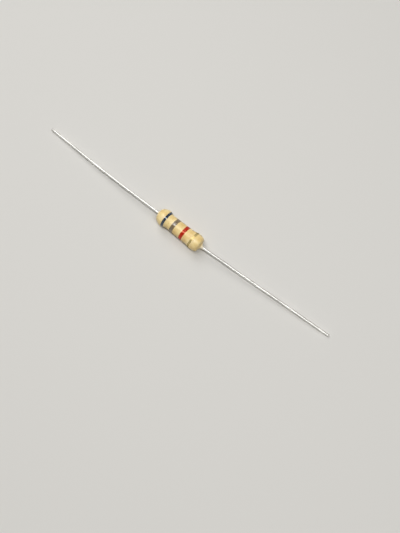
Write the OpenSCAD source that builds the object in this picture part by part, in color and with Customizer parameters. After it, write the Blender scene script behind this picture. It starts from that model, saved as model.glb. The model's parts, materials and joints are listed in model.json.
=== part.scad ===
// Axial film resistor with four colour bands, lying on a flat surface on its body and both lead tips.
// A ceramic rod carries a film of carbon with a spiral cut. A pressed cap on each end of the rod
// holds a welded lead, and a moulded skin of epoxy covers all but the leads.
// X runs along the body, Z = 0 is the surface it lies on. Sizes are in millimetres.

/* [Rod] */
// Diameter of the ceramic rod
rod_d = 2.1; // [1.6:0.05:3.2]
// Length of the ceramic rod
rod_l = 7.5; // [6.5:0.1:12]

/* [Film] */
// Thickness of the carbon film, drawn thicker than the real one
film_t = 0.04; // [0.03:0.01:0.07]
// Width of the spiral cut through the film
cut_w = 0.2; // [0.1:0.02:0.3]
// Turns of the spiral cut
cut_turns = 5; // [3:1:7]
// Uncut film between a cap's rim and the spiral cut
cut_margin = 0.3; // [0.15:0.05:0.6]

/* [Caps] */
// Thickness of a cap's side wall
cap_wall = 0.2; // [0.12:0.02:0.3]
// Thickness of a cap's end
cap_end_t = 0.25; // [0.15:0.05:0.4]
// Length of a cap over its end
cap_l = 1.3; // [1.1:0.1:2.2]
// Outer radius of a cap's corner
cap_corner_r = 0.3; // [0.22:0.02:0.4]

/* [Coating] */
// Coating over the film beside the left cap
coat_film_left = 0.19; // [0.12:0.01:0.3]
// Coating over the film beside the right cap
coat_film_right = 0.27; // [0.12:0.01:0.32]
// Coating over the left cap's side
coat_cap_left = 0.3; // [0.16:0.01:0.35]
// Coating over the right cap's side
coat_cap_right = 0.23; // [0.12:0.01:0.35]
// Coating over a cap's end
coat_end = 0.55; // [0.35:0.05:0.8]
// Length along which the body rounds off at its left end
end_round_left = 1.5; // [0.5:0.05:1.5]
// Length along which the body rounds off at its right end
end_round_right = 1; // [0.2:0.05:1.2]
// Diameter of the flat at the middle of the left end
end_flat_left = 1.2; // [0.9:0.05:2]
// Diameter of the flat at the middle of the right end
end_flat_right = 2; // [0.9:0.05:2.2]
// Length of the slope from a bulge down to the waist
shoulder_l = 1.1; // [0.5:0.1:1.4]
// How far the coating creeps up the left lead
creep_l_left = 0.25; // [0.15:0.05:0.8]
// How far the coating creeps up the right lead
creep_l_right = 0.6; // [0.15:0.05:0.8]
// Thickness of the coating where it stops on the lead
creep_t = 0.05; // [0.03:0.01:0.1]

/* [Bands] */
// Thickness of the paint
band_t = 0.02; // [0.01:0.005:0.04]
// Middle of the first digit's band, from the middle of the body
first_x = -2.75; // [-3:0.05:-2.2]
// Width of the first digit's band
first_w = 0.42; // [0.3:0.02:0.7]
// Middle of the second digit's band
second_x = -0.95; // [-1.5:0.05:-0.4]
// Width of the second digit's band
second_w = 0.68; // [0.3:0.02:0.8]
// Middle of the multiplier's band
multiplier_x = 1.1; // [0.5:0.05:1.6]
// Width of the multiplier's band
multiplier_w = 0.64; // [0.3:0.02:0.8]
// Middle of the tolerance band
tolerance_x = 3; // [2.4:0.05:3.3]
// Width of the tolerance band
tolerance_w = 0.38; // [0.3:0.02:0.7]

/* [Leads] */
// Diameter of the tinned wire
lead_d = 0.5; // [0.4:0.02:0.8]
// Length of each lead from the body's end to its tip
lead_l = 26.2; // [20:0.1:32]
// Diameter of the upset foot that is welded to the cap
weld_d = 0.8; // [0.6:0.05:1]
// Height of the upset foot
weld_l = 0.15; // [0.05:0.05:0.25]
// Straight wire between the coating and the first bend
lead_stub = 0.1; // [0.08:0.02:1]
// Sideways turn of the left lead where it leaves the coating, in degrees
kink_angle_left = -0.8; // [-4:0.1:4]
// Sideways turn of the right lead where it leaves the coating, in degrees
kink_angle_right = 4; // [-6:0.1:6]
// Sideways turn of the left lead at each of its two gentle bends, in degrees, 0 for a straight lead
bow_angle_left = 1.1; // [-3:0.1:3]
// Sideways turn of the right lead at each of its two gentle bends, in degrees, 0 for a straight lead
bow_angle_right = 0; // [-3:0.1:3]
// Straight stretch of a bent lead before its gentle bends
straight_l = 8.2; // [4:0.1:11]
// Straight stretch between the gentle bends
bow_l = 6.5; // [3:0.1:8]

/* [Hidden] */
$fn = 96;

curve_steps = 10;   // points along each rounded end and each creeping edge
side_spacing = 0.1; // spacing of the points along the side
film_steps = 36;    // flats round the film
film_tip = 0.02;    // width at which the strip's pointed ends stop
bend_l = 0.1;       // length of the stub at a bend
bend_swell = 0.02;  // how much thicker the stub is than the wire
bend_gap = 0.03;    // how far the straight wire stops short of the middle of a bend

film_r = rod_d / 2 + film_t;
cap_r = film_r + cap_wall;
cap_face = rod_l / 2 + cap_end_t;
cap_rim = cap_face - cap_l;
body_half = cap_face + coat_end;

function ease(t) = let (u = min(max(t, 0), 1)) u * u * (3 - 2 * u);
function mix(a, b, t) = a + (b - a) * t;

// Radius of the coating before its ends round off: a waist between two bulges, one over each cap
function waist_r(x) = film_r + mix(coat_film_left, coat_film_right, ease((x + cap_rim) / (2 * cap_rim)));
function bulge_r(x) = cap_r + (x < 0 ? coat_cap_left : coat_cap_right);
function side_r(x) = mix(waist_r(x), bulge_r(x), ease((abs(x) - cap_rim + shoulder_l / 2) / shoulder_l));

// Points [x, radius] of the coating's outline. At its ends, side is -1 for the left one.
function end_points(side, round_l, flat_d) = [
    for (i = [0 : curve_steps])
        let (a = 90 * i / curve_steps, x = side * (body_half - round_l + round_l * sin(a)))
        [x, mix(flat_d / 2, side_r(x), cos(a))]
];
function creep_points(side, creep_l, flat_d) = [
    for (i = [1 : curve_steps])
        let (a = 90 * i / curve_steps, lip_r = lead_d / 2 + creep_t)
        [side * (body_half + creep_l * (1 - cos(a))), mix(flat_d / 2, lip_r, sin(a))]
];
function side_points(from, to) = let (steps = round((to - from) / side_spacing)) [
    for (i = [1 : steps - 1]) let (x = mix(from, to, i / steps)) [x, side_r(x)]
];
function reversed(points) = [for (i = [len(points) - 1 : -1 : 0]) points[i]];
function outline_points() = concat(
    reversed(creep_points(-1, creep_l_left, end_flat_left)),
    reversed(end_points(-1, end_round_left, end_flat_left)),
    side_points(-body_half + end_round_left, body_half - end_round_right),
    end_points(1, end_round_right, end_flat_right),
    creep_points(1, creep_l_right, end_flat_right)
);

// The body lies on whichever bulge or band is the thickest
function band_r(x, width) = max(side_r(x - width / 2), side_r(x + width / 2)) + band_t;
axis_z = max(concat(
    [for (point = outline_points()) point[1]],
    [band_r(first_x, first_w), band_r(second_x, second_w),
     band_r(multiplier_x, multiplier_w), band_r(tolerance_x, tolerance_w)]
));

// Turns a profile that is drawn as [x, radius] round the body's axis
module turned() {
    translate([0, 0, axis_z]) rotate([0, 90, 0]) rotate_extrude() rotate([180, 0, 90]) children();
}

// The profile between an outline and the axis
module below(points) {
    polygon(concat([[points[0][0], 0]], points, [[points[len(points) - 1][0], 0]]));
}

module ceramic_rod() {
    color("#d9d4c7") turned() translate([-rod_l / 2, 0]) square([rod_l, rod_d / 2]);
}

// The film has flat facets all round, and touches the rod at the middle of each.
// Its strip winds on from one turn of the cut to the next, and ends flat against the uncut film.
module carbon_film() {
    cut_half = cap_rim - cut_margin;
    pitch = 2 * cut_half / cut_turns;
    inner_r = rod_d / 2 / cos(180 / film_steps);
    lead_in = ceil((cut_w / 2 + film_tip) / pitch * film_steps);
    count = (cut_turns + 1) * film_steps - 2 * lead_in;
    function on_film(x) = min(max(x, -cut_half), cut_half);
    function round_film(r, x, step) = let (a = 360 * step / film_steps) [x, r * cos(a), r * sin(a)];
    strip_points = [
        for (i = [0 : count])
            let (step = lead_in + i, cut_x = -cut_half + pitch * step / film_steps,
                 from = on_film(cut_x - pitch + cut_w / 2), to = on_film(cut_x - cut_w / 2))
            each [round_film(inner_r, from, step), round_film(inner_r, to, step),
                  round_film(film_r, to, step), round_film(film_r, from, step)]
    ];
    strip_faces = concat(
        [[0, 1, 2], [0, 2, 3]],
        [for (i = [0 : count - 1], k = [0 : 3])
            let (a = 4 * i + k, b = 4 * i + (k + 1) % 4) each [[a, a + 4, b], [b, a + 4, b + 4]]],
        [[4 * count, 4 * count + 2, 4 * count + 1], [4 * count, 4 * count + 3, 4 * count + 2]]
    );
    function ring(r) = [for (i = [0 : film_steps - 1]) [for (k = [1, 2]) round_film(r, 0, i)[k]]];
    color("#3b3a38") translate([0, 0, axis_z]) {
        polyhedron(strip_points, strip_faces);
        for (x = [-rod_l / 2, cut_half]) translate([x, 0, 0]) rotate([90, 0, 90])
            linear_extrude(rod_l / 2 - cut_half) difference() {
                polygon(ring(film_r));
                polygon(ring(inner_r));
            }
    }
}

// Outline of a cap, as [x, radius], from its rim over the rounded corner to its end
function cap_points() = concat(
    [[cap_rim, cap_r]],
    [for (i = [0 : curve_steps]) let (a = 90 * i / curve_steps)
        [cap_face - cap_corner_r * (1 - sin(a)), cap_r - cap_corner_r * (1 - cos(a))]]
);

module end_cap() {
    color("#b9bab6") turned() difference() {
        below(cap_points());
        translate([cap_rim - cap_l, 0]) square([rod_l / 2 - cap_rim + cap_l, film_r]);
    }
}

module end_cap_left() mirror([1, 0, 0]) end_cap();
module end_cap_right() end_cap();

// Outline of the upset foot on the cap and the straight wire that follows it
function foot_points(to) = [[cap_face, weld_d / 2], [cap_face + weld_l, lead_d / 2], [to, lead_d / 2]];

// The wire outside the coating comes down to the surface at its tip
first_bend = body_half + max(creep_l_left, creep_l_right) + lead_stub;
reach = body_half + lead_l - first_bend;
drop = asin((axis_z - lead_d / 2) / reach);

module wire(from, to, d = lead_d) {
    translate([from, 0, 0]) rotate([0, 90, 0]) cylinder(h = to - from, d = d);
}

// Wire that turns at short bends, through a list of [downward turn, sideways turn, length].
// A bend is a stub at half the turn. The straights stop inside it, so that no two of them cross.
module bent_wire(legs, i = 0) {
    length = legs[i][2];
    last = i == len(legs) - 1;
    rotate([0, legs[i][0] / 2, legs[i][1] / 2]) wire(-bend_l / 2, bend_l / 2, lead_d + bend_swell);
    rotate([0, legs[i][0], legs[i][1]]) {
        wire(bend_gap, last ? length : length - bend_gap);
        if (!last) translate([length, 0, 0]) bent_wire(legs, i + 1);
    }
}

module lead(kink, bow) {
    color("#d4d5d2") {
        turned() below(foot_points(first_bend - bend_gap));
        translate([first_bend, 0, axis_z]) bent_wire(
            bow == 0 ? [[drop, kink, reach]]
                     : [[drop, kink, straight_l], [0, bow, bow_l], [0, bow, reach - straight_l - bow_l]]
        );
    }
}

module lead_left() rotate([0, 0, 180]) lead(-kink_angle_left, -bow_angle_left);
module lead_right() lead(kink_angle_right, bow_angle_right);

// What the coating encloses on the right half: the film, the cap, and the lead with its foot
module core_half() {
    translate([-side_spacing, 0]) square([cap_rim + 2 * side_spacing, film_r]);
    below(cap_points());
    below(foot_points(first_bend));
}

module coating() {
    color("#dcc48a") turned() difference() {
        below(outline_points());
        for (side = [0, 1]) mirror([side, 0]) core_half();
    }
}

// A painted ring on the coating
module band(x, width) {
    steps = round(width / side_spacing);
    turned() difference() {
        below([for (i = [0 : steps])
            let (p = mix(x - width / 2, x + width / 2, i / steps)) [p, side_r(p) + band_t]]);
        below(outline_points());
    }
}

module first_digit_band() color("#2a3138") band(first_x, first_w);
module second_digit_band() color("#7d6f58") band(second_x, second_w);
module multiplier_band() color("#b53413") band(multiplier_x, multiplier_w);
module tolerance_band() color("#a8925a") band(tolerance_x, tolerance_w);

ceramic_rod();
carbon_film();
end_cap_left();
end_cap_right();
lead_left();
lead_right();
coating();
first_digit_band();
second_digit_band();
multiplier_band();
tolerance_band();
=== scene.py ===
import json
import math

import bmesh
import bpy
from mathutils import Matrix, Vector
from mathutils.bvhtree import BVHTree


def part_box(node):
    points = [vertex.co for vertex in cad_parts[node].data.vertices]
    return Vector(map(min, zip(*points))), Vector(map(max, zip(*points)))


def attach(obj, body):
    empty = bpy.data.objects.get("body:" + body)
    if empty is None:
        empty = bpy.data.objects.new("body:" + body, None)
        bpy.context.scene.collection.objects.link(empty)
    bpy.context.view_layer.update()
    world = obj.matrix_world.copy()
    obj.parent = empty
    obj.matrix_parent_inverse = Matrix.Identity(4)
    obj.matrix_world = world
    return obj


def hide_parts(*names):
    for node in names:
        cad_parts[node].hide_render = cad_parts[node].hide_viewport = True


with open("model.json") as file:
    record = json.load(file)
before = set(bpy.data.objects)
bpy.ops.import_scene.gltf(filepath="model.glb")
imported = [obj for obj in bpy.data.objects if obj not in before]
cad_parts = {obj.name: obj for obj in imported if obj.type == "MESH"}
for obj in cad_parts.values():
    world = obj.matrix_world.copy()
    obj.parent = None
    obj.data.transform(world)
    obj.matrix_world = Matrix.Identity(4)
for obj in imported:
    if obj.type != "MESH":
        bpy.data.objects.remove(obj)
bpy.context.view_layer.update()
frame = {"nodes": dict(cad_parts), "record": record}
scene = bpy.context.scene
mm = 0.001
weldDistance = 0.0001 * mm  # points closer than this become one
print("frame loaded with", len(frame["nodes"]), "CAD nodes")


# sRGB hex to the linear colour that a shader takes
def colour(hexValue):
    parts = [int(hexValue[i:i + 2], 16) / 255 for i in (1, 3, 5)]
    linear = [c / 12.92 if c <= 0.04045 else ((c + 0.055) / 1.055) ** 2.4 for c in parts]
    return (*linear, 1.0)


# adds a node with its settings and links
# inputs maps each socket to a value, to another socket, or to a node whose first output it takes
def addNode(tree, kind, inputs=None, **settings):
    node = tree.nodes.new(kind)
    for name, value in settings.items():
        setattr(node, name, value)
    for key, value in (inputs or {}).items():
        if isinstance(value, bpy.types.Node):
            value = next(socket for socket in value.outputs if socket.enabled)
        if isinstance(value, bpy.types.NodeSocket):
            tree.links.new(value, node.inputs[key])
        else:
            node.inputs[key].default_value = value
    return node


# an empty geometry tree with its named inputs, such as {"Width": "Float"}
def newTree(name, sizes):
    tree = bpy.data.node_groups.new(name, "GeometryNodeTree")
    for label, kind in {"Geometry": "Geometry", **sizes}.items():
        tree.interface.new_socket(label, in_out="INPUT", socket_type="NodeSocket" + kind)
    tree.interface.new_socket("Geometry", in_out="OUTPUT", socket_type="NodeSocketGeometry")
    return tree, tree.nodes.new("NodeGroupInput").outputs


# every tree ends the same way: smooth, real geometry with its material
def closeTree(tree, geometry, material):
    smooth = addNode(tree, "GeometryNodeSetShadeSmooth", {"Geometry": geometry})
    real = addNode(tree, "GeometryNodeRealizeInstances", {"Geometry": smooth})
    dressed = addNode(tree, "GeometryNodeSetMaterial", {"Geometry": real, "Material": material})
    addNode(tree, "NodeGroupOutput", {"Geometry": dressed})


# a line of points as a mesh, with a value for each point under each attribute's name
def lineMesh(name, points, closed=False, **attributes):
    mesh = bpy.data.meshes.new(name)
    edges = [(i, i + 1) for i in range(len(points) - 1)]
    if closed:
        edges.append((len(points) - 1, 0))
    mesh.from_pydata(points, edges, [])
    for label, values in attributes.items():
        mesh.attributes.new(label, "FLOAT", "POINT").data.foreach_set("value", values)
    return mesh


# runs a tree on a mesh and gives back a plain object, with nothing live left on it
def runTree(name, tree, mesh, values):
    seedObject = bpy.data.objects.new(name + "_line", mesh)
    scene.collection.objects.link(seedObject)
    modifier = seedObject.modifiers.new(name, "NODES")
    modifier.node_group = tree
    for item in tree.interface.items_tree:
        if item.in_out == "INPUT" and item.name in values:
            modifier[item.identifier] = values[item.name]
    finished = seedObject.evaluated_get(bpy.context.evaluated_depsgraph_get())
    result = bpy.data.meshes.new_from_object(finished)
    bpy.data.objects.remove(seedObject)
    shell = bmesh.new()
    shell.from_mesh(result)
    bmesh.ops.recalc_face_normals(shell, faces=shell.faces)
    openEdges = sum(not edge.is_manifold for edge in shell.edges)
    shell.to_mesh(result)
    shell.free()
    piece = bpy.data.objects.new(name, result)
    scene.collection.objects.link(piece)
    print(name, "has", len(result.polygons), "faces and", openEdges, "open edges")
    return piece


# hands a finished piece over to the frame
def fitPiece(piece, node):
    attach(piece, "root")
    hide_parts(node)


# camera, lamps and table
view = {
    "lookAt": (6.6 * mm, -2.57 * mm, 0),  # spot on the table at the middle of the picture
    "distance": 68.9 * mm,
    "heading": 39.1,     # degrees that the camera is turned from looking along +Y
    "elevation": 78.92,  # degrees that it looks down
    "lens": 27.0,
}
lamps = {
    # the strip hangs along the body, and gives it and the right lead one long streak of light
    "strip": {
        "heading": 0, "elevation": 86, "distance": 0.3, "along": 35 * mm,
        "size": (0.36, 0.045), "power": 0.73},
    # the softbox stands over the left lead, on the far side
    "softbox": {
        "heading": 238, "elevation": 50, "distance": 0.4, "along": 0,
        "size": (0.26, 0.26), "power": 0.68},
    # light of the room, and how pale its ceiling looks
    # its wall ends and its ceiling begins at heights from 0, the horizon, to 1, overhead
    "room": {"horizon": 0.03, "overhead": 0.06, "ceiling": 0.25, "wallTop": 0.55, "ceilingEdge": 0.7},
}
table = {
    "size": 4.0,
    "colour": "#d6d4cf",
    "litReach": (0.05, 0.2),  # distances at which the lamps begin and cease to be what lights it
}


# a place at a distance from a centre, out along a heading and an elevation
# with it comes the turn that faces back to the centre
def pointAt(heading, elevation, distance, centre):
    turn, tilt = math.radians(heading), math.radians(elevation)
    back = Vector((math.sin(turn) * math.cos(tilt), -math.cos(turn) * math.cos(tilt), math.sin(tilt)))
    return centre + back * distance, (-back).to_track_quat("-Z", "Y")


def addCamera():
    camera = bpy.data.objects.new("camera", bpy.data.cameras.new("camera"))
    scene.collection.objects.link(camera)
    camera.rotation_mode = "QUATERNION"
    camera.location, camera.rotation_quaternion = pointAt(
        view["heading"], view["elevation"], view["distance"], Vector(view["lookAt"]))
    camera.data.lens = view["lens"]
    camera.data.clip_start = 1 * mm
    scene.camera = camera


def addLamp(name, heading, elevation, distance, along, size, power):
    light = bpy.data.lights.new(name, "AREA")
    light.shape = "RECTANGLE"
    light.size, light.size_y = size
    light.energy = power
    lamp = bpy.data.objects.new(name, light)
    scene.collection.objects.link(lamp)
    lamp.rotation_mode = "QUATERNION"
    lamp.location, lamp.rotation_quaternion = pointAt(heading, elevation, distance, Vector((along, 0, 0)))


# 1 for a ray that shows a surface to the camera, straight or in a reflection
def seenRay(tree):
    rays = addNode(tree, "ShaderNodeLightPath").outputs
    seen = rays["Is Camera Ray"]
    for ray in ("Is Glossy Ray", "Is Transmission Ray"):
        seen = addNode(tree, "ShaderNodeMath", {0: seen, 1: rays[ray]}, operation="MAXIMUM")
    return seen


# a faint light from all round, and what is seen there: pale walls under a darker ceiling
def addRoom():
    world = bpy.data.worlds.new("studio")
    world.use_nodes = True
    tree = world.node_tree
    tree.nodes.clear()
    room = lamps["room"]
    seen = seenRay(tree)
    toward = addNode(tree, "ShaderNodeTexCoord").outputs["Generated"]
    height = addNode(tree, "ShaderNodeSeparateXYZ", {"Vector": toward}).outputs["Z"]
    glow = addNode(tree, "ShaderNodeMapRange", {
        "Value": height, "To Min": room["horizon"], "To Max": room["overhead"]})
    backdrop = addNode(tree, "ShaderNodeMapRange", {
        "Value": height, "From Min": room["wallTop"], "From Max": room["ceilingEdge"],
        "To Min": 1.0, "To Max": room["ceiling"]})
    strength = addNode(tree, "ShaderNodeMix", {
        "Factor": seen, 2: glow.outputs["Result"], 3: backdrop.outputs["Result"]}, data_type="FLOAT")
    tint = addNode(tree, "ShaderNodeMix", {"Factor": seen, 6: (1, 1, 1, 1), 7: colour(table["colour"])},
                   data_type="RGBA")
    shown = addNode(tree, "ShaderNodeBackground", {"Color": tint.outputs[2], "Strength": strength})
    addNode(tree, "ShaderNodeOutputWorld", {"Surface": shown})
    scene.world = world


def newMaterial(name):
    material = bpy.data.materials.new(name)
    material.use_nodes = True
    return material, material.node_tree, material.node_tree.nodes["Principled BSDF"]


# matt laminate sheet: a plain pale top that only takes the shadows
# beyond the lamps' reach it is seen in its own plain colour
def paleLaminate():
    material, tree, shader = newMaterial("pale laminate")
    shader.inputs["Base Color"].default_value = colour(table["colour"])
    shader.inputs["Roughness"].default_value = 0.9
    shader.inputs["Specular IOR Level"].default_value = 0.2
    place = addNode(tree, "ShaderNodeTexCoord").outputs["Object"]
    away = addNode(tree, "ShaderNodeVectorMath", {0: place}, operation="LENGTH")
    nearest, farthest = table["litReach"]
    far = addNode(tree, "ShaderNodeMapRange", {
        "Value": away.outputs["Value"], "From Min": nearest, "From Max": farthest},
        interpolation_type="SMOOTHSTEP")
    plain = addNode(tree, "ShaderNodeMath", {0: far.outputs["Result"], 1: seenRay(tree)},
                    operation="MULTIPLY")
    glow = addNode(tree, "ShaderNodeEmission", {"Color": colour(table["colour"]), "Strength": 1.0})
    mixed = addNode(tree, "ShaderNodeMixShader", {0: plain, 1: shader, 2: glow})
    tree.links.new(mixed.outputs["Shader"], tree.nodes["Material Output"].inputs["Surface"])
    return material


def addTable():
    half = table["size"] / 2
    corners = [(-half, -half, 0), (half, -half, 0), (half, half, 0), (-half, half, 0)]
    mesh = bpy.data.meshes.new("table")
    mesh.from_pydata(corners, [], [(0, 1, 2, 3)])
    mesh.materials.append(paleLaminate())
    top = bpy.data.objects.new("table", mesh)
    scene.collection.objects.link(top)


addCamera()
addLamp("strip", **lamps["strip"])
addLamp("softbox", **lamps["softbox"])
addRoom()
addTable()
scene.view_settings.view_transform = "Standard"
print("camera, lamps and table placed")


# a noise whose grains are so many millimetres across; stretch pulls them out along X
def noiseAt(tree, grain, stretch=1.0, **inputs):
    place = addNode(tree, "ShaderNodeTexCoord").outputs["Object"]
    if stretch != 1.0:
        place = addNode(tree, "ShaderNodeMapping", {"Vector": place, "Scale": (1 / stretch, 1, 1)})
    return addNode(tree, "ShaderNodeTexNoise", {"Vector": place, "Scale": 1 / (grain * mm), **inputs})


# epoxy lacquer, flowed on and baked: a wet-looking tan gloss that is a little lumpy and clouded
def bakedEpoxy():
    material, tree, shader = newMaterial("baked epoxy coating")
    # the resin clouds over a millimetre or two
    tans = addNode(tree, "ShaderNodeValToRGB", {"Fac": noiseAt(tree, 1.6, Detail=3.0)})
    dark, pale = tans.color_ramp.elements
    dark.position, dark.color = 0.36, colour("#e6c580")
    pale.position, pale.color = 0.64, colour("#f9e2ae")
    tans.color_ramp.elements.new(0.5).color = colour("#f2d898")
    # grains of pigment up to a tenth of a millimetre across
    speck = addNode(tree, "ShaderNodeValToRGB", {"Fac": noiseAt(tree, 0.16, Detail=1.0)})
    inside, outside = speck.color_ramp.elements
    inside.position, inside.color = 0.24, (1, 1, 1, 1)
    outside.position, outside.color = 0.3, (0, 0, 0, 1)
    freckled = addNode(tree, "ShaderNodeMix", {
        "Factor": speck, 6: tans.outputs["Color"], 7: colour("#c29f62")}, data_type="RGBA")
    # over a lead the skin is so thin that the metal pales it; the pale cream here is also a painted
    # highlight on the cone round each lead
    thin = addNode(tree, "ShaderNodeAttribute", attribute_name="thin")
    paledAndHighlit = addNode(tree, "ShaderNodeMix", {
        "Factor": thin.outputs["Fac"], 6: freckled.outputs[2], 7: colour("#f3e8cb")}, data_type="RGBA")
    tree.links.new(paledAndHighlit.outputs[2], shader.inputs["Base Color"])
    gloss = addNode(tree, "ShaderNodeMapRange", {
        "Value": noiseAt(tree, 0.7), "To Min": 0.34, "To Max": 0.5})
    tree.links.new(gloss.outputs["Result"], shader.inputs["Roughness"])
    # orange peel, as baking leaves it
    peel = addNode(tree, "ShaderNodeBump", {
        "Height": noiseAt(tree, 0.35, Detail=2.0), "Distance": 0.008 * mm})
    tree.links.new(peel.outputs["Normal"], shader.inputs["Normal"])
    shader.inputs["IOR"].default_value = 1.5
    shader.inputs["Coat Weight"].default_value = 0.15
    shader.inputs["Coat Roughness"].default_value = 0.15
    return material


# ink rolled on by a wheel: solid in the middle, thinner at the edges where the tan shows through
# dullest is the roughness of its least glossy spots, and sheen tints what it mirrors
def rolledInk(name, deep, light, dullest=0.4, metal=0.0, sheen="#ffffff", coat=0.35):
    material, tree, shader = newMaterial(name)
    cloud = addNode(tree, "ShaderNodeValToRGB", {"Fac": noiseAt(tree, 0.5, Detail=3.0)})
    thick, sparse = cloud.color_ramp.elements
    thick.position, thick.color = 0.35, colour(deep)
    sparse.position, sparse.color = 0.7, colour(light)
    # the edge breaks up over a quarter of a millimetre
    across = addNode(tree, "ShaderNodeAttribute", attribute_name="across")
    ragged = addNode(tree, "ShaderNodeMath", {
        0: across.outputs["Fac"], 1: noiseAt(tree, 0.25, Detail=2.0)}, operation="MULTIPLY")
    thin = addNode(tree, "ShaderNodeMapRange", {
        "Value": ragged, "From Min": 0.5, "From Max": 0.75, "To Max": 0.6})
    inked = addNode(tree, "ShaderNodeMix", {
        "Factor": thin, 6: cloud.outputs["Color"], 7: colour("#dcc48c")}, data_type="RGBA")
    tree.links.new(inked.outputs[2], shader.inputs["Base Color"])
    shader.inputs["Metallic"].default_value = metal
    gloss = addNode(tree, "ShaderNodeMapRange", {
        "Value": noiseAt(tree, 0.3), "To Min": 0.6 * dullest, "To Max": dullest})
    tree.links.new(gloss.outputs["Result"], shader.inputs["Roughness"])
    # pigment grain, drawn some ten times as coarse as it is, so that it shows
    grain = addNode(tree, "ShaderNodeBump", {
        "Height": noiseAt(tree, 0.12, Detail=2.0), "Distance": 0.003 * mm})
    tree.links.new(grain.outputs["Normal"], shader.inputs["Normal"])
    shader.inputs["Specular IOR Level"].default_value = 1.0
    shader.inputs["Specular Tint"].default_value = colour(sheen)
    shader.inputs["Coat Weight"].default_value = coat
    shader.inputs["Coat Roughness"].default_value = 0.22
    return material


# copper wire drawn through a die and hot tinned: silvery, with fine lines along it and duller patches
def tinnedCopper():
    material, tree, shader = newMaterial("tinned copper wire")
    # the tin dulls in patches about a millimetre wide and four long
    patch = addNode(tree, "ShaderNodeValToRGB", {"Fac": noiseAt(tree, 0.9, 4.0, Detail=3.0)})
    dull, bright = patch.color_ramp.elements
    dull.position, dull.color = 0.35, colour("#cbcac6")
    bright.position, bright.color = 0.65, colour("#e5e4e0")
    tree.links.new(patch.outputs["Color"], shader.inputs["Base Color"])
    shader.inputs["Metallic"].default_value = 1.0
    gloss = addNode(tree, "ShaderNodeMapRange", {
        "Value": noiseAt(tree, 0.4, 6.0, Detail=2.0), "To Min": 0.36, "To Max": 0.5})
    tree.links.new(gloss.outputs["Result"], shader.inputs["Roughness"])
    # the die's lines are finer than this, and are drawn coarser so that they show
    dieLines = addNode(tree, "ShaderNodeBump", {
        "Height": noiseAt(tree, 0.06, 40.0), "Distance": 0.0007 * mm})
    tree.links.new(dieLines.outputs["Normal"], shader.inputs["Normal"])
    return material


# alumina, pressed, fired and ground round: chalky white with faint grinding rings
def firedAlumina():
    material, tree, shader = newMaterial("fired alumina")
    # sintered grains, drawn far coarser than they are, so that they show
    grain = addNode(tree, "ShaderNodeValToRGB", {"Fac": noiseAt(tree, 0.2, Detail=4.0)})
    dark, pale = grain.color_ramp.elements
    dark.color = colour("#cdc8bb")
    pale.color = colour("#ebe7dc")
    tree.links.new(grain.outputs["Color"], shader.inputs["Base Color"])
    shader.inputs["Roughness"].default_value = 0.75
    # the grinding wheel's rings, a thirtieth of a millimetre apart
    rings = addNode(tree, "ShaderNodeBump", {"Height": noiseAt(tree, 0.3, 0.1), "Distance": 0.004 * mm})
    tree.links.new(rings.outputs["Normal"], shader.inputs["Normal"])
    return material


# carbon deposited from gas: a dull black film with a faint grey bloom
def depositedCarbon():
    material, tree, shader = newMaterial("deposited carbon")
    # the bloom drifts over half a millimetre
    bloom = addNode(tree, "ShaderNodeValToRGB", {"Fac": noiseAt(tree, 0.5, Detail=4.0)})
    black, grey = bloom.color_ramp.elements
    black.color = colour("#1d1c1b")
    grey.color = colour("#4a4845")
    tree.links.new(bloom.outputs["Color"], shader.inputs["Base Color"])
    shader.inputs["Roughness"].default_value = 0.5
    return material


# mild steel cup, deep drawn and tin plated: satin grey with pull lines along its wall
def platedSteel():
    material, tree, shader = newMaterial("tin plated steel")
    # smears of plating, a third of a millimetre wide and one long
    plating = addNode(tree, "ShaderNodeValToRGB", {"Fac": noiseAt(tree, 0.3, 3.0, Detail=3.0)})
    dull, bright = plating.color_ramp.elements
    dull.color = colour("#a3a29e")
    bright.color = colour("#cfcecb")
    tree.links.new(plating.outputs["Color"], shader.inputs["Base Color"])
    shader.inputs["Metallic"].default_value = 1.0
    shader.inputs["Roughness"].default_value = 0.35
    pullLines = addNode(tree, "ShaderNodeBump", {
        "Height": noiseAt(tree, 0.08, 20.0), "Distance": 0.002 * mm})
    tree.links.new(pullLines.outputs["Normal"], shader.inputs["Normal"])
    return material


# body coating: one closed skin, turned from a section that follows the CAD solids
coating = {
    "lineSpacing": 0.05 * mm,   # between the points of the outline
    "ringPoints": 128,
    "probes": 72,               # rays that feel each ring of the CAD coating
    "probeStart": 10 * mm,      # radius that they start from
    "boreSink": 0.002 * mm,     # how far the skin's bore bites the lead, so that no gap shows
    "swellDepth": 0.035 * mm,   # slow lumps left by the dipping
    "swellSize": 2.4 * mm,
    "rippleDepth": 0.006 * mm,  # quick ripples
    "rippleSize": 0.7 * mm,
    "thinDepth": 0.3 * mm,      # depth of epoxy over a lead from which no metal shows through and no highlight is painted on
    "thinFade": 1.6,            # how quickly the metal and the painted highlight show below that depth
}
lowCoat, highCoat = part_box("coating")
axisHeight = (lowCoat.z + highCoat.z) / 2
wireRadius = frame["record"]["mounts"][0]["dims"]["r_mm"] * mm


# outer radius of a CAD node at each place along the axis, from rays shot at it all round
def outsideRadii(node, places):
    solid = BVHTree.FromObject(frame["nodes"][node], bpy.context.evaluated_depsgraph_get())
    start = coating["probeStart"]
    turns = [math.tau * probe / coating["probes"] for probe in range(coating["probes"])]
    radii = []
    for x in places:
        best = 0
        for turn in turns:
            out = Vector((0, math.sin(turn), math.cos(turn)))
            distance = solid.ray_cast(Vector((x, 0, axisHeight)) + out * start, -out)[3]
            if distance is not None:
                best = max(best, start - distance)
        radii.append(best)
    return radii


# the outside of the skin, at each place where the CAD coating has a ring of points
def skinOutline():
    vertices = frame["nodes"]["coating"].data.vertices
    places = sorted({round(v.co.x, 6) for v in vertices})  # to the micrometre
    places = [x for x in places if lowCoat.x < x < highCoat.x]
    return list(zip(places, outsideRadii("coating", places)))


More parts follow.
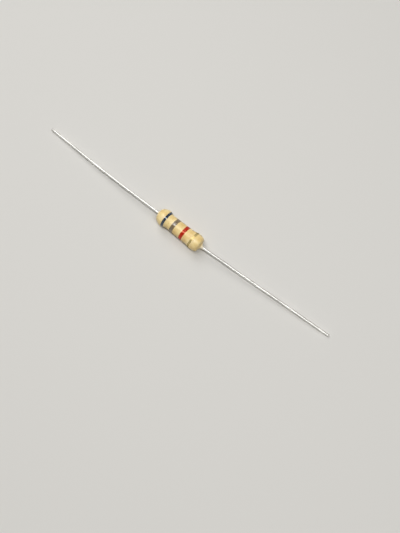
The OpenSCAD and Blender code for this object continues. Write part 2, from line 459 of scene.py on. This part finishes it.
# a Catmull-Rom line through (x, radius) points, with its own points evenly spaced
def smoothLine(points, spacing):
    line = []
    last = len(points) - 1
    for i in range(last):
        a, b, c, d = (Vector(points[min(max(i + k, 0), last)]) for k in (-1, 0, 1, 2))
        parts = max(1, round((c - b).length / spacing))
        for part in range(parts):
            t = part / parts
            line.append(0.5 * (2 * b + (c - a) * t + (2 * a - 5 * b + 4 * c - d) * t ** 2
                               + (3 * b - 3 * c + d - a) * t ** 3))
    line.append(Vector(points[last]))
    return line


# the wall that the skin has inside: film, cap and lead, from left to right
def coreOutline():
    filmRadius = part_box("carbon_film")[1].y
    capLow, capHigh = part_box("end_cap_right")
    bore = wireRadius - coating["boreSink"]
    cap = [(capLow.x, filmRadius), (capLow.x, capHigh.y), (capHigh.x, capHigh.y), (capHigh.x, bore)]
    return [(lowCoat.x, bore)] + [(-x, r) for x, r in reversed(cap)] + cap + [(highCoat.x, bore)]


def turnedSkinTree():
    tree, given = newTree("turned skin", {
        "Section Points": "Int", "Ring Points": "Int", "Axis Height": "Float", "Swell Depth": "Float",
        "Swell Size": "Float", "Ripple Depth": "Float", "Ripple Size": "Float", "Material": "Material"})
    along, grid, angle = turnedGrid(tree, given)
    section = addNode(tree, "GeometryNodeSampleIndex", {
        "Geometry": given["Geometry"], "Value": addNode(tree, "GeometryNodeInputPosition"), "Index": along},
        data_type="FLOAT_VECTOR")
    marked = grid
    # skin marks where the lumps go; thin carries the metal's paling and the painted highlight round each
    # lead
    for label in ("skin", "thin"):
        mark = addNode(tree, "GeometryNodeSampleIndex", {
            "Geometry": given["Geometry"], "Index": along,
            "Value": addNode(tree, "GeometryNodeInputNamedAttribute", {"Name": label}, data_type="FLOAT")},
            data_type="FLOAT")
        marked = addNode(tree, "GeometryNodeStoreNamedAttribute", {
            "Geometry": marked, "Name": label, "Value": mark}, data_type="FLOAT", domain="POINT")
    place = addNode(tree, "ShaderNodeSeparateXYZ", {"Vector": section})
    turned = addNode(tree, "GeometryNodeSetPosition", {
        "Geometry": marked, "Position": onRing(tree, place.outputs["X"], place.outputs["Z"], angle, given)})
    closed = addNode(tree, "GeometryNodeMergeByDistance", {"Geometry": turned, "Distance": weldDistance})
    # the lumps only take material away, so the skin stays inside the solid that it stands for
    lumps = []
    for name in ("Swell", "Ripple"):
        size = addNode(tree, "ShaderNodeMath", {0: 1.0, 1: given[name + " Size"]}, operation="DIVIDE")
        noise = addNode(tree, "ShaderNodeTexNoise", {"Scale": size, "Detail": 1.0})
        lump = addNode(tree, "ShaderNodeMath", {0: noise, 1: given[name + " Depth"]}, operation="MULTIPLY")
        lumps.append(lump)
    depth = addNode(tree, "ShaderNodeMath", {0: lumps[0], 1: lumps[1]}, operation="ADD")
    masked = addNode(tree, "ShaderNodeMath", {
        0: depth, 1: addNode(tree, "GeometryNodeInputNamedAttribute", {"Name": "skin"}, data_type="FLOAT")},
        operation="MULTIPLY")
    inward = addNode(tree, "ShaderNodeVectorMath", {
        0: addNode(tree, "GeometryNodeInputNormal"), "Scale": masked}, operation="SCALE")
    lumpy = addNode(tree, "GeometryNodeSetPosition", {"Geometry": closed, "Offset": inward})
    closeTree(tree, lumpy, given["Material"])
    return tree


# a grid whose columns follow a section's points and whose rows go round the axis
def turnedGrid(tree, given):
    columns = addNode(tree, "ShaderNodeMath", {0: given["Section Points"], 1: 1.0}, operation="ADD")
    rows = addNode(tree, "ShaderNodeMath", {0: given["Ring Points"], 1: 1.0}, operation="ADD")
    grid = addNode(tree, "GeometryNodeMeshGrid", {
        "Size X": 1.0, "Size Y": 1.0, "Vertices X": columns, "Vertices Y": rows})
    place = addNode(tree, "ShaderNodeSeparateXYZ", {"Vector": addNode(tree, "GeometryNodeInputPosition")})
    share = addNode(tree, "ShaderNodeMath", {0: place.outputs["X"], 1: 0.5}, operation="ADD")
    column = addNode(tree, "ShaderNodeMath", {0: share, 1: given["Section Points"]}, operation="MULTIPLY")
    whole = addNode(tree, "ShaderNodeMath", {0: column}, operation="ROUND")
    along = addNode(tree, "ShaderNodeMath", {0: whole, 1: given["Section Points"]}, operation="MODULO")
    angle = addNode(tree, "ShaderNodeMath", {0: place.outputs["Y"], 1: math.tau}, operation="MULTIPLY")
    return along, grid.outputs["Mesh"], angle


# the point at a place along the axis, a radius from it and an angle round it
def onRing(tree, place, radius, angle, given):
    parts = []
    for operation in ("SINE", "COSINE"):
        part = addNode(tree, "ShaderNodeMath", {0: angle}, operation=operation)
        parts.append(addNode(tree, "ShaderNodeMath", {0: part, 1: radius}, operation="MULTIPLY"))
    height = addNode(tree, "ShaderNodeMath", {0: parts[1], 1: given["Axis Height"]}, operation="ADD")
    return addNode(tree, "ShaderNodeCombineXYZ", {"X": place, "Y": parts[0], "Z": height})


# 1 where the skin is so thin on a lead that the metal pales it and a highlight is painted on, down to 0 on
# the body
def paleAndHighlightShareAt(radius):
    return min(1.0, coating["thinFade"] * max(0.0, 1 - (radius - wireRadius) / coating["thinDepth"]))


def makeCoating():
    outside = smoothLine(skinOutline(), coating["lineSpacing"])
    core = coreOutline()
    # this way round, the turned faces point out of the skin
    points = [(x, 0, r) for x, r in core] + [(p.x, 0, p.y) for p in reversed(outside)]
    skin = [0.0] * len(core) + [1.0] * len(outside)
    # share of metal paling and painted highlight at each point of the outline
    thin = [0.0] * len(core) + [paleAndHighlightShareAt(p.y) for p in reversed(outside)]
    section = lineMesh("coating section", points, closed=True, skin=skin, thin=thin)
    return runTree("epoxy_coating", turnedSkinTree(), section, {
        "Section Points": len(points), "Ring Points": coating["ringPoints"], "Axis Height": axisHeight,
        "Swell Depth": coating["swellDepth"], "Swell Size": coating["swellSize"],
        "Ripple Depth": coating["rippleDepth"], "Ripple Size": coating["rippleSize"],
        "Material": bakedEpoxy()})


coatingSkin = makeCoating()
fitPiece(coatingSkin, "coating")
print("coating turned")

# colour bands: each is a ring of ink that follows the finished coating
bands = {
    "thickness": 0.018 * mm,
    "sink": 0.3,             # share of the thickness that bites into the coating
    "tilt": 0.055 * mm,      # how far a ring leans along the body at its far side
    "edgeWobble": 0.035 * mm,
    "wobbleSize": 0.9 * mm,
    "wobbleRing": 1.5 * mm,  # radius of the ring that is cut out of the noise, about the body's own
    "sectionPoints": 48,
    "squareness": 3.5,       # 1 is an ellipse, more is a flatter top with steeper edges
    "ringPoints": 144,
    "castFrom": 4 * mm,      # radius from which the ring is dropped on the coating
}


def rolledBandTree():
    tree, given = newTree("rolled band", {
        "Coating": "Object", "Section Points": "Int", "Ring Points": "Int", "Axis Height": "Float",
        "Middle": "Float", "Width": "Float", "Thickness": "Float", "Tilt": "Float", "Edge Wobble": "Float",
        "Wobble Size": "Float", "Wobble Ring": "Float", "Cast From": "Float", "Seed": "Float",
        "Material": "Material"})
    along, grid, angle = turnedGrid(tree, given)
    section = addNode(tree, "GeometryNodeSampleIndex", {
        "Geometry": given["Geometry"], "Value": addNode(tree, "GeometryNodeInputPosition"), "Index": along},
        data_type="FLOAT_VECTOR")
    part = addNode(tree, "ShaderNodeSeparateXYZ", {"Vector": section})
    edge = addNode(tree, "ShaderNodeMath", {0: part.outputs["X"]}, operation="ABSOLUTE")
    marked = addNode(tree, "GeometryNodeStoreNamedAttribute", {
        "Geometry": grid, "Name": "across", "Value": edge}, data_type="FLOAT", domain="POINT")
    # each edge wanders by itself, because the two lie two radii apart in the noise
    halfWidth = addNode(tree, "ShaderNodeMath", {0: given["Width"], 1: 0.5}, operation="MULTIPLY")
    across = addNode(tree, "ShaderNodeMath", {0: part.outputs["X"], 1: halfWidth}, operation="MULTIPLY")
    apart = addNode(tree, "ShaderNodeMath", {0: part.outputs["X"], 1: given["Wobble Ring"]},
                    operation="MULTIPLY")
    size = addNode(tree, "ShaderNodeMath", {0: 1.0, 1: given["Wobble Size"]}, operation="DIVIDE")
    around = onRing(tree, apart, given["Wobble Ring"], angle, given)
    wander = addNode(tree, "ShaderNodeTexNoise", {
        "Vector": around, "W": given["Seed"], "Scale": size, "Detail": 2.0}, noise_dimensions="4D")
    centred = addNode(tree, "ShaderNodeMath", {0: wander.outputs["Fac"], 1: 0.5}, operation="SUBTRACT")
    wobble = addNode(tree, "ShaderNodeMath", {0: centred, 1: given["Edge Wobble"]}, operation="MULTIPLY")
    aside = addNode(tree, "ShaderNodeMath", {0: angle}, operation="SINE")
    lean = addNode(tree, "ShaderNodeMath", {0: aside, 1: given["Tilt"]}, operation="MULTIPLY")
    place = given["Middle"]
    for shift in (across, wobble, lean):
        place = addNode(tree, "ShaderNodeMath", {0: place, 1: shift}, operation="ADD")
    start = onRing(tree, place, given["Cast From"], angle, given)
    foot = onRing(tree, place, 0.0, angle, given)
    down = addNode(tree, "ShaderNodeVectorMath", {0: foot, 1: start}, operation="SUBTRACT")
    body = addNode(tree, "GeometryNodeObjectInfo", {"Object": given["Coating"]})
    landing = addNode(tree, "GeometryNodeRaycast", {
        "Target Geometry": body.outputs["Geometry"], "Source Position": start, "Ray Direction": down,
        "Ray Length": given["Cast From"]})
    inward = addNode(tree, "ShaderNodeVectorMath", {0: down}, operation="NORMALIZE")
    rise = addNode(tree, "ShaderNodeMath", {0: part.outputs["Z"], 1: given["Thickness"]},
                   operation="MULTIPLY")
    lift = addNode(tree, "ShaderNodeVectorMath", {0: inward, "Scale": rise}, operation="SCALE")
    inked = addNode(tree, "ShaderNodeVectorMath", {0: landing.outputs["Hit Position"], 1: lift},
                    operation="SUBTRACT")
    laid = addNode(tree, "GeometryNodeSetPosition", {"Geometry": marked, "Position": inked})
    closed = addNode(tree, "GeometryNodeMergeByDistance", {"Geometry": laid, "Distance": weldDistance})
    closeTree(tree, closed, given["Material"])
    return tree


# the section of the ink, from -1 to 1 across and from below the coating to 1 above it
def inkSection():
    points = []
    for step in range(bands["sectionPoints"]):
        angle = math.tau * step / bands["sectionPoints"]
        side, height = [math.copysign(abs(part) ** (1 / bands["squareness"]), part)
                        for part in (math.cos(angle), math.sin(angle))]
        points.append((side, 0, (height + 1) / 2 * (1 + bands["sink"]) - bands["sink"]))
    return points


def makeBand(name, node, seed, material):
    low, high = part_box(node)
    points = inkSection()
    return runTree(name, bandTree, lineMesh(name + " section", points, closed=True), {
        "Coating": coatingSkin, "Section Points": len(points), "Ring Points": bands["ringPoints"],
        "Axis Height": axisHeight, "Middle": (low.x + high.x) / 2, "Width": high.x - low.x,
        "Thickness": bands["thickness"], "Tilt": bands["tilt"], "Edge Wobble": bands["edgeWobble"],
        "Wobble Size": bands["wobbleSize"], "Wobble Ring": bands["wobbleRing"],
        "Cast From": bands["castFrom"], "Seed": seed, "Material": material})


bandTree = rolledBandTree()
blueInk = rolledInk("blue ink, rolled on", "#051426", "#18324e", dullest=0.27, sheen="#dfe6ee")
greyInk = rolledInk("grey ink, rolled on", "#67553c", "#806c4c", dullest=0.33)
redInk = rolledInk("red ink, rolled on", "#a60d00", "#c42400", dullest=0.33, sheen="#ffa67a", coat=0.22)
# the flakes lie flat, so they mirror little at a low angle
goldInk = rolledInk("gold flake ink, rolled on", "#9c8750", "#dcc688", dullest=0.55, metal=1.0,
                    sheen="#000000")
for seed, (name, node, slot, ink) in enumerate([
        ("blue_band", "first_digit_band", "blue_paint", blueInk),
        ("grey_band", "second_digit_band", "grey_paint", greyInk),
        ("red_band", "multiplier_band", "red_paint", redInk),
        ("gold_band", "tolerance_band", "gold_paint", goldInk)]):
    fitPiece(makeBand(name, node, float(seed), ink), node)
print("bands rolled on")

# leads: drawn wire that follows the middle of each CAD lead
leads = {
    "pointSpacing": 0.06 * mm,
    "roundPoints": 32,
    "exitBend": 10 * mm,     # bend radius where a lead leaves the coating
    "gentleBend": 250 * mm,  # bend radius of the long bows
    "bendPoints": 16,        # most points in a bend
    "ringGap": 0.1 * mm,     # rings of the CAD lead lie further apart than this, points of one ring don't
    "cutLength": 0.3 * mm,   # how far from its tip the cutters pinched the wire
    "cutThickness": 0.35,    # share of the wire's thickness that is left at the tip
}


def drawnWireTree():
    tree, given = newTree("drawn wire", {
        "Point Spacing": "Float", "Round Points": "Int", "Bend Points": "Int", "Cut Length": "Float",
        "Cut Thickness": "Float", "Material": "Material"})
    bend = addNode(tree, "GeometryNodeInputNamedAttribute", {"Name": "bendRadius"}, data_type="FLOAT")
    line = addNode(tree, "GeometryNodeMeshToCurve", {"Mesh": given["Geometry"]})
    bent = addNode(tree, "GeometryNodeFilletCurve", {
        "Curve": line, "Radius": bend, "Limit Radius": True, "Count": given["Bend Points"]}, mode="POLY")
    path = addNode(tree, "GeometryNodeResampleCurve", {
        "Curve": bent, "Length": given["Point Spacing"]}, mode="LENGTH")
    total = addNode(tree, "GeometryNodeSplineLength")
    gone = addNode(tree, "GeometryNodeSplineParameter")
    left = addNode(tree, "ShaderNodeMath", {0: total.outputs["Length"], 1: gone.outputs["Length"]},
                   operation="SUBTRACT")
    tipped = addNode(tree, "GeometryNodeStoreNamedAttribute", {
        "Geometry": path, "Name": "fromTip", "Value": left}, data_type="FLOAT", domain="POINT")
    centred = addNode(tree, "GeometryNodeStoreNamedAttribute", {
        "Geometry": tipped, "Name": "middle", "Value": addNode(tree, "GeometryNodeInputPosition")},
        data_type="FLOAT_VECTOR", domain="POINT")
    thick = addNode(tree, "GeometryNodeInputNamedAttribute", {"Name": "wireRadius"}, data_type="FLOAT")
    profile = addNode(tree, "GeometryNodeCurvePrimitiveCircle", {
        "Resolution": given["Round Points"], "Radius": 1.0})
    wire = addNode(tree, "GeometryNodeCurveToMesh", {
        "Curve": centred, "Profile Curve": profile.outputs["Curve"], "Scale": thick, "Fill Caps": True})
    # the cutters leave a wedge, pinched from above and below
    fromTip = addNode(tree, "GeometryNodeInputNamedAttribute", {"Name": "fromTip"}, data_type="FLOAT")
    middle = addNode(tree, "GeometryNodeInputNamedAttribute", {"Name": "middle"}, data_type="FLOAT_VECTOR")
    pinch = addNode(tree, "ShaderNodeMapRange", {
        "Value": fromTip, "From Min": 0.0, "From Max": given["Cut Length"],
        "To Min": given["Cut Thickness"], "To Max": 1.0}, interpolation_type="SMOOTHSTEP")
    factor = addNode(tree, "ShaderNodeCombineXYZ", {"X": 1.0, "Y": 1.0, "Z": pinch.outputs["Result"]})
    offset = addNode(tree, "ShaderNodeVectorMath", {
        0: addNode(tree, "GeometryNodeInputPosition"), 1: middle}, operation="SUBTRACT")
    flat = addNode(tree, "ShaderNodeVectorMath", {0: offset, 1: factor}, operation="MULTIPLY")
    place = addNode(tree, "ShaderNodeVectorMath", {0: flat, 1: middle}, operation="ADD")
    cut = addNode(tree, "GeometryNodeSetPosition", {"Geometry": wire, "Position": place})
    closeTree(tree, cut, given["Material"])
    return tree


# the boxes round the rings of vertices along a CAD lead, from its foot to its tip
def ringsOf(node):
    vertices = sorted((v.co for v in frame["nodes"][node].data.vertices), key=lambda place: abs(place.x))
    groups = [[vertices[0]]]
    for before, place in zip(vertices, vertices[1:]):
        if abs(place.x) - abs(before.x) > leads["ringGap"]:
            groups.append([])
        groups[-1].append(place)
    return [[Vector(map(pick, zip(*group))) for pick in (min, max)] for group in groups]


def makeLead(name, node, material):
    (footLow, footHigh), *rings = ringsOf(node)
    foot = sorted((footLow.x, footHigh.x), key=abs)
    middles = [(low + high) / 2 for low, high in rings]
    places = [(x, 0, axisHeight) for x in foot] + middles
    radii = [footHigh.y] + [wireRadius] * (len(places) - 1)
    bends = [0.0, 0.0, leads["exitBend"]] + [leads["gentleBend"]] * (len(middles) - 2) + [0.0]
    return runTree(name, wireTree, lineMesh(name + " path", places, wireRadius=radii, bendRadius=bends), {
        "Point Spacing": leads["pointSpacing"], "Round Points": leads["roundPoints"],
        "Bend Points": leads["bendPoints"], "Cut Length": leads["cutLength"],
        "Cut Thickness": leads["cutThickness"], "Material": material})


wireTree = drawnWireTree()
wireMetal = tinnedCopper()
for name, node in (("left_lead", "lead_left"), ("right_lead", "lead_right")):
    fitPiece(makeLead(name, node, wireMetal), node)
print("leads drawn")


# pieces inside: the CAD solids stay, in their own finish
def dressNode(node, material):
    for slot in frame["nodes"][node].material_slots:
        slot.material = material


dressNode("ceramic_rod", firedAlumina())
dressNode("carbon_film", depositedCarbon())
capSteel = platedSteel()
for side in ("left", "right"):
    dressNode("end_cap_" + side, capSteel)
print("inner pieces dressed")
